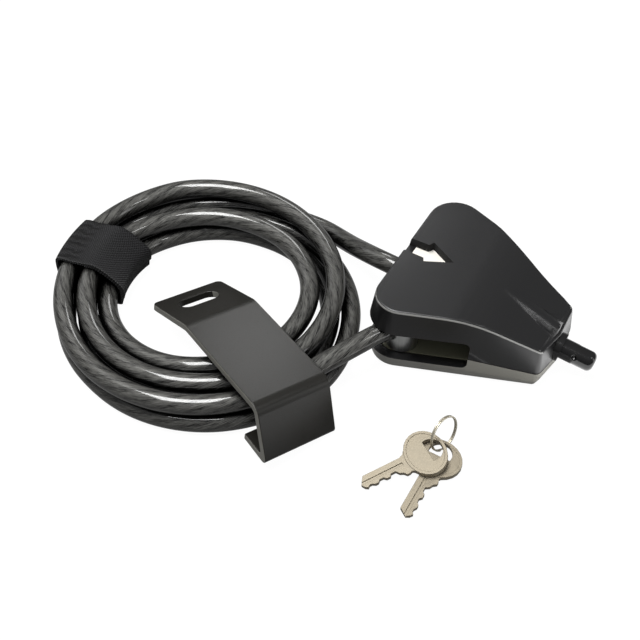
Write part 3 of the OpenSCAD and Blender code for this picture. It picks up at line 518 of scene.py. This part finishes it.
def soften(piece, low, high, pitch, reach):
    """Cuts the upward faces between two corners into a fine grid, and blurs their heights.

    The corners, the grid's pitch and the blur's reach are in millimetres. The faces keep their heights
    at the box's low x side and at the shell's edge."""
    shape = bmesh.new()
    shape.from_mesh(piece.data)
    step, margin, above = 0.25, 4, 50

    def upward():
        return [f for f in shape.faces if f.normal.z > 0.5
                and all(low[k] * MM < f.calc_center_median()[k] < high[k] * MM for k in range(3))]

    def blur(field):
        steps = np.arange(-3 * reach, 3.01 * reach, step)
        weights = np.exp(-0.5 * (steps / reach) ** 2)
        weights /= weights.sum()
        for axis in (0, 1):
            field = np.apply_along_axis(np.convolve, axis, field, weights, "same")
        return field

    surface = BVHTree.FromBMesh(shape)
    xs = np.arange(low[0] - margin, high[0] + margin, step)
    ys = np.arange(low[1] - margin, high[1] + margin, step)
    heights, seen = np.zeros((len(xs), len(ys))), np.zeros((len(xs), len(ys)))
    for i, x in enumerate(xs):
        for j, y in enumerate(ys):
            hit, facing, _, _ = surface.ray_cast(Vector((x, y, above)) * MM, Vector((0, 0, -1)))
            if hit and facing.z > 0.5 and hit.z > low[2] * MM:
                heights[i, j], seen[i, j] = hit.z, 1
    share = blur(seen)
    smooth = blur(heights * seen) / np.maximum(share, 1e-6)
    for axis in (0, 1):
        for cut in np.arange(low[axis], high[axis], pitch):
            picked = upward()
            edges = dict.fromkeys(e for f in picked for e in f.edges)
            corners = dict.fromkeys(v for f in picked for v in f.verts)
            point, way = Vector(), Vector()
            point[axis], way[axis] = cut * MM, 1
            bmesh.ops.bisect_plane(
                shape, geom=[*picked, *edges, *corners], dist=1e-7, plane_co=point, plane_no=way)
    picked = set(upward())
    for v in shape.verts:
        if v.link_faces and all(f in picked for f in v.link_faces):
            a, b = (v.co.x / MM - xs[0]) / step, (v.co.y / MM - ys[0]) / step
            i, j = int(a), int(b)
            a, b = a - i, b - j
            z, w = ((1 - a) * ((1 - b) * f[i, j] + b * f[i, j + 1])
                    + a * ((1 - b) * f[i + 1, j] + b * f[i + 1, j + 1]) for f in (smooth, share))
            edge = min(1, max(0, (w - 0.9) / 0.09))
            side = min(1, max(0, (v.co.x / MM - low[0]) / 5))
            v.co.z += edge * side * (z - v.co.z)
    shape.to_mesh(piece.data)
    shape.free()


def take(piece, material, wanted):
    """Gives the faces that are wanted, of a finished piece, one more material."""
    piece.data.materials.append(material)
    for face in piece.data.polygons:
        if wanted(face):
            face.material_index = len(piece.data.materials) - 1


# Black ABS from a spark-eroded tool: a soft, wide sheen on a nearly black ground.
dark_abs = moulded("moulded black ABS", "161617", 0.31)
# The lower shell's ABS, painted much paler than the black plastic is: painted light on its sides.
lower_abs_painted_light = moulded("black ABS painted pale as if lit", "a3a198", 0.3, 0.8)
# Black ABS painted pale on the upper shell's rounded rim: a painted highlight, a thin light line along the
# edge.
rim_highlight_abs = moulded("black ABS with a painted rim highlight", "8c8c89", 0.3, 0.9)
# Nearly black: the dark bottom of the joint between the shells, and painted shade on the walls of an
# opening, where hardly any light comes.
joint_and_painted_shade, _, _ = finish_of("dark joint and painted shade", Base_Color=linear("050505"), Roughness=0.9)
top_shell = smooth_copy("top_shell", "upper_shell", "root", angle=50)
top_shell.data.materials.append(dark_abs)
# The painted highlight on the rounded rim: faces that lean outward, above the side walls and clear of the
# ridge by the nose.
take(top_shell, rim_highlight_abs, lambda f: 0.2 < f.normal.z < 0.8 and f.center.z > RIM_Z * MM
     and f.normal.xy.dot(f.center.xy - MIDDLE) > 0
     and (f.center.x < RIDGE_X * MM or abs(f.center.y) > RIDGE_Y * MM))
# Painted shade on the arrow opening's walls: upright faces near the pale plate that look towards it.
opening = sum((Vector(corner) for corner in nodes["arrow_plate"].bound_box), Vector()) / 8
take(top_shell, joint_and_painted_shade, lambda f: abs(f.normal.z) < 0.3 and f.center.z > opening.z
     and (f.center - opening).length < OPENING_R * MM and f.normal.dot(opening - f.center) > 0)
part_line(top_shell, JOINT_W, joint_and_painted_shade)
soften(top_shell, SLOPE_LOW, SLOPE_HIGH, 1.0, 0.6)
bottom_shell = smooth_copy("bottom_shell", "lower_shell", "root", angle=50)
bottom_shell.data.materials.append(lower_abs_painted_light)
# Faces of the lower shell that look up, the window's sill and its floor, keep the black of the top, without
# the painted light of its sides.
take(bottom_shell, dark_abs, lambda f: f.normal.z > 0.3)
part_line(bottom_shell, JOINT_W, joint_and_painted_shade)


# ---- Arrow, window plate and fittings -----------------------------------------------------------
# Inside the housing: a pale plate under the arrow-shaped opening, an olive passivated steel plate on
# the window's floor, and the steel and brass working parts of the lock.
def metal(name, code, rough, scale=(700, 700, 60), metallic=1.0):
    """A turned or ground metal, with fine marks along one way."""
    material, tree, shader = finish_of(name, Metallic=metallic)
    stretch = put(tree, "ShaderNodeMapping",
                  {"Vector": put(tree, "ShaderNodeTexCoord").outputs["Object"], "Scale": scale})
    marks = put(tree, "ShaderNodeTexNoise", {"Vector": stretch, "Scale": 1.0, "Detail": 4.0})
    spread = put(tree, "ShaderNodeMapRange", {"Value": marks, "To Min": rough * 0.75, "To Max": rough * 1.3})
    tree.links.new(spread.outputs["Result"], shader.inputs["Roughness"])
    ramp = put(tree, "ShaderNodeValToRGB", {"Fac": marks})
    ramp.color_ramp.elements[0].color = tuple(0.8 * c for c in linear(code)[:3]) + (1.0,)
    ramp.color_ramp.elements[0].position = 0.3
    ramp.color_ramp.elements[1].color = linear(code)
    ramp.color_ramp.elements[1].position = 0.6
    tree.links.new(ramp.outputs["Color"], shader.inputs["Base Color"])
    return material


# Steel turned in a lathe, with bright fine rings.
bright_steel = metal("turned stainless steel", "b4b5b4", 0.3)
# Zinc as it comes from the die: duller and greyer than the steel.
zinc = metal("die-cast zinc", "9b9c99", 0.4)
# Machined brass, yellow and bright round the keyway.
brass = metal("machined brass", "c8b47a", 0.3)
# Wire drawn through a die: bright, with fine lines along it.
spring_wire = metal("drawn spring wire", "a9a9a6", 0.3)
# Steel sheet with an olive passivated coat, a dull warm green in the window's shade.
olive_plate = moulded("olive passivated steel", "7b7b69", 0.45)
# Pale ABS, nearly white under the black shell's arrow.
pale_plate = moulded("moulded pale ABS", "e6e3da", 0.5)
for node, finish in {
    "arrow_plate": pale_plate, "floor_plate": olive_plate, "shell_screws": zinc, "nose_collar": soft_pvc,
    "swivel_barrel": bright_steel, "swivel_ferrule": zinc, "lock_body": zinc, "locking_finger": bright_steel,
    "finger_spring": spring_wire, "cylinder_housing": zinc, "chamber_cover": zinc, "key_plug": brass,
    "key_pins": brass, "driver_pins": brass, "pin_springs": spring_wire, "plug_clip": bright_steel,
    "plug_tail": zinc,
}.items():
    nodes[node].data.materials.clear()
    nodes[node].data.materials.append(finish)


# ---- Bracket ------------------------------------------------------------------------------------
# Mild steel strip, bent and powder coated in satin dark grey. The slotted end slopes down into the
# coil, and the foot's flange is turned back under the cable.
BRACKET_TURN, BRACKET_ROLL = math.radians(-25.3), math.radians(-9.8)
ACROSS = Vector((-math.sin(BRACKET_TURN) * math.cos(BRACKET_ROLL),
                 math.cos(BRACKET_TURN) * math.cos(BRACKET_ROLL), math.sin(BRACKET_ROLL)))
BRACKET_EDGE = 0.35
# Powder baked on the steel: a satin, faintly grained dark skin with wide highlights.
powder = moulded("satin powder coat on steel", "1b1a17", 0.3, 0.35)
# The strip's cut edges, painted paler than the powder coat as a painted highlight, so that they stand out as
# light lines.
edge_highlight_powder = moulded("powder coat with a painted edge highlight", "6e6d67", 0.4)
bracket = smooth_copy("bracket", "bracket_plate", "bracket", edge=BRACKET_EDGE, angle=50)
bracket.data.materials.append(powder)
take(bracket, edge_highlight_powder, lambda f: abs(f.normal.dot(ACROSS)) > 0.8)


# ---- Keys ---------------------------------------------------------------------------------------
# Two pressed keys, nickel plated over brass: a raised rim round each bow, a D-shaped hole, and a
# groove milled along the blade.
KEY_EDGE = 0.12
# Nickel over brass, dull and faintly warm, with no clear reflections.
nickel = metal("worn nickel plate over brass", "938a78", 0.5, (300, 300, 300), 0.45)
for node, name, body in (("key_1", "left_key", "key_a"), ("key_2", "right_key", "key_b")):
    key = smooth_copy(node, name, body, edge=KEY_EDGE, angle=30)
    key.data.materials.append(nickel)


# ---- Split ring ---------------------------------------------------------------------------------
# Flat spring wire wound twice round, 15 mm outside, that both keys hang on. Its ends are cut square,
# and the second turn climbs over the first.
RING_C = np.array((12.3, -56.4, 7.4))
RING_TURN, RING_TILT = math.radians(-13.8), math.radians(75.05)
RING_R, RING_LEVEL = 6.9, 0.29
RING_END, RING_STEP = 690, 5
CLIMB_AT, CLIMB_OVER = 330, 30
WIRE_SECTION = [(0.3, 0.16), (0.2, 0.27), (-0.2, 0.27), (-0.3, 0.16),
                (-0.3, -0.16), (-0.2, -0.27), (0.2, -0.27), (0.3, -0.16)]


def wound_ring():
    """The flat wire: one turn, a short climb over its own start, and a second turn."""
    turn = Matrix.Rotation(RING_TURN, 3, "Z") @ Matrix.Rotation(RING_TILT, 3, "Y")
    points = []
    for a in range(0, RING_END + 1, RING_STEP):
        climb = min(1, max(0, (a - CLIMB_AT) / CLIMB_OVER))
        level = RING_LEVEL * (2 * climb * climb * (3 - 2 * climb) - 1)
        for out, up in WIRE_SECTION:
            r = RING_R + out
            spot = Vector((r * math.cos(math.radians(a)), r * math.sin(math.radians(a)), level + up))
            points.append(RING_C + np.array(turn @ spot))
    n = len(WIRE_SECTION)
    last = len(points) - n
    faces = [(i + k, i + (k + 1) % n, i + n + (k + 1) % n, i + n + k)
             for i in range(0, last, n) for k in range(n)]
    return points, faces + [tuple(reversed(range(n))), tuple(range(last, last + n))]


# Nickel-plated steel wire: brighter than the keys, with warm broken reflections.
ring_steel = metal("nickel-plated spring steel", "c9c2b0", 0.35, (300, 300, 300), 0.8)
ring_points, ring_faces = wound_ring()
split_ring = mesh_object("key_ring", np.array(ring_points) * MM, ring_faces)
split_ring.data.set_sharp_from_angle(angle=math.radians(60))
split_ring.data.materials.append(ring_steel)
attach(split_ring, "ring")
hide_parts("split_ring")


# ---- Floor and light ----------------------------------------------------------------------------
# A white sheet in a white room with a greyer ceiling. A wide lamp above draws the highlights along
# edges and cable, strips stand left and right, and small lamps pick out the housing's ridge and back.
FLOOR_HALF, FLOOR_Z = 3, -0.0002
# Paper, white as the camera sees it and greyer in reflections, so that gloss shows its shape.
white, tree, shader = finish_of("white paper", Base_Color=linear("3c3c3b"), Roughness=0.9)
path = put(tree, "ShaderNodeLightPath")
mirrored = put(tree, "ShaderNodeMath", {0: path.outputs["Is Glossy Ray"], 1: 0.3}, operation="MULTIPLY")
through_glass = path.outputs["Is Transmission Ray"]
past = put(tree, "ShaderNodeMath", {0: mirrored, 1: through_glass}, operation="MAXIMUM")
seen = put(tree, "ShaderNodeMath", {0: path.outputs["Is Camera Ray"], 1: past}, operation="MAXIMUM")
glow = put(tree, "ShaderNodeMath", {0: seen, 1: 0.97}, operation="MULTIPLY")
tree.links.new(glow.outputs[0], shader.inputs["Emission Strength"])
shader.inputs["Emission Color"].default_value = (1, 1, 1, 1)
corners = [(x * FLOOR_HALF, y * FLOOR_HALF, FLOOR_Z) for x, y in ((-1, -1), (1, -1), (1, 1), (-1, 1))]
floor = mesh_object("floor", corners, [(0, 1, 2, 3)], False)
floor.data.materials.append(white)

# The last lamp lies in the table's plane, unseen by the camera, and lifts the nose's end facet.
lamp_aim = (-0.05, -0.03, 0)
under_light = "light under the right of the table"
for name, place, aim, size, watts in (
        ("overhead softbox", (-0.22, -0.12, 0.85), lamp_aim, (0.5, 0.3), 8.8),
        ("ridge lamp", (0.41, 0.06, 0.72), (0.02, 0, 0.025), (0.15, 0.1), 0.5),
        ("left strip", (-0.75, 0.1, 0.6), lamp_aim, (0.45, 0.9), 0.9),
        ("back lamp", (-0.273, 0.381, 0.354), (-0.062, -0.068, 0.02), (0.12, 0.12), 0.3),
        ("right strip", (0.9, 0.15, 0.3), (0.02, 0, 0.015), (0.2, 0.6), 0.8),
        (under_light, (0.15, -0.02, -0.0001), (0.15, -0.02, 1), (0.22, 0.24), 0.33)):
    lamp = bpy.data.objects.new(name, bpy.data.lights.new(name, "AREA"))
    lamp.data.shape = "RECTANGLE"
    lamp.data.size, lamp.data.size_y = size
    lamp.data.energy = watts
    lamp.location = place
    lamp.rotation_euler = (Vector(aim) - Vector(place)).to_track_quat("-Z", "Y").to_euler()
    lamp.visible_camera = name != under_light
    bpy.context.scene.collection.objects.link(lamp)

# The room is white straight on, and greyer in reflections. Its plain light comes mostly from above.
world = bpy.data.worlds.new("studio")
bpy.context.scene.world = world
world.use_nodes = True
tree = world.node_tree
tree.nodes.clear()
path = put(tree, "ShaderNodeLightPath")
way = put(tree, "ShaderNodeSeparateXYZ", {"Vector": put(tree, "ShaderNodeTexCoord").outputs["Generated"]})
ceiling = put(tree, "ShaderNodeMapRange", {"Value": way.outputs["Z"], "From Min": 0.3, "From Max": 0.7,
                                           "To Min": 1.0, "To Max": 0.6})
from_above = put(tree, "ShaderNodeMapRange", {"Value": way.outputs["Z"], "From Max": 0.9, "To Min": 0.0,
                                              "To Max": 0.4})
mirrored = put(tree, "ShaderNodeMath", {0: path.outputs["Is Glossy Ray"], 1: 0.14}, operation="MULTIPLY")
through_glass = path.outputs["Is Transmission Ray"]
past = put(tree, "ShaderNodeMath", {0: mirrored, 1: through_glass}, operation="MAXIMUM")
seen = put(tree, "ShaderNodeMath", {0: path.outputs["Is Camera Ray"], 1: past}, operation="MAXIMUM")
strength = put(tree, "ShaderNodeMix", {"Factor": seen, "A": from_above, "B": ceiling}, data_type="FLOAT")
back = put(tree, "ShaderNodeBackground", {"Color": (1, 1, 1, 1), "Strength": strength})
put(tree, "ShaderNodeOutputWorld", {"Surface": back})
bpy.context.scene.view_settings.view_transform = "Standard"
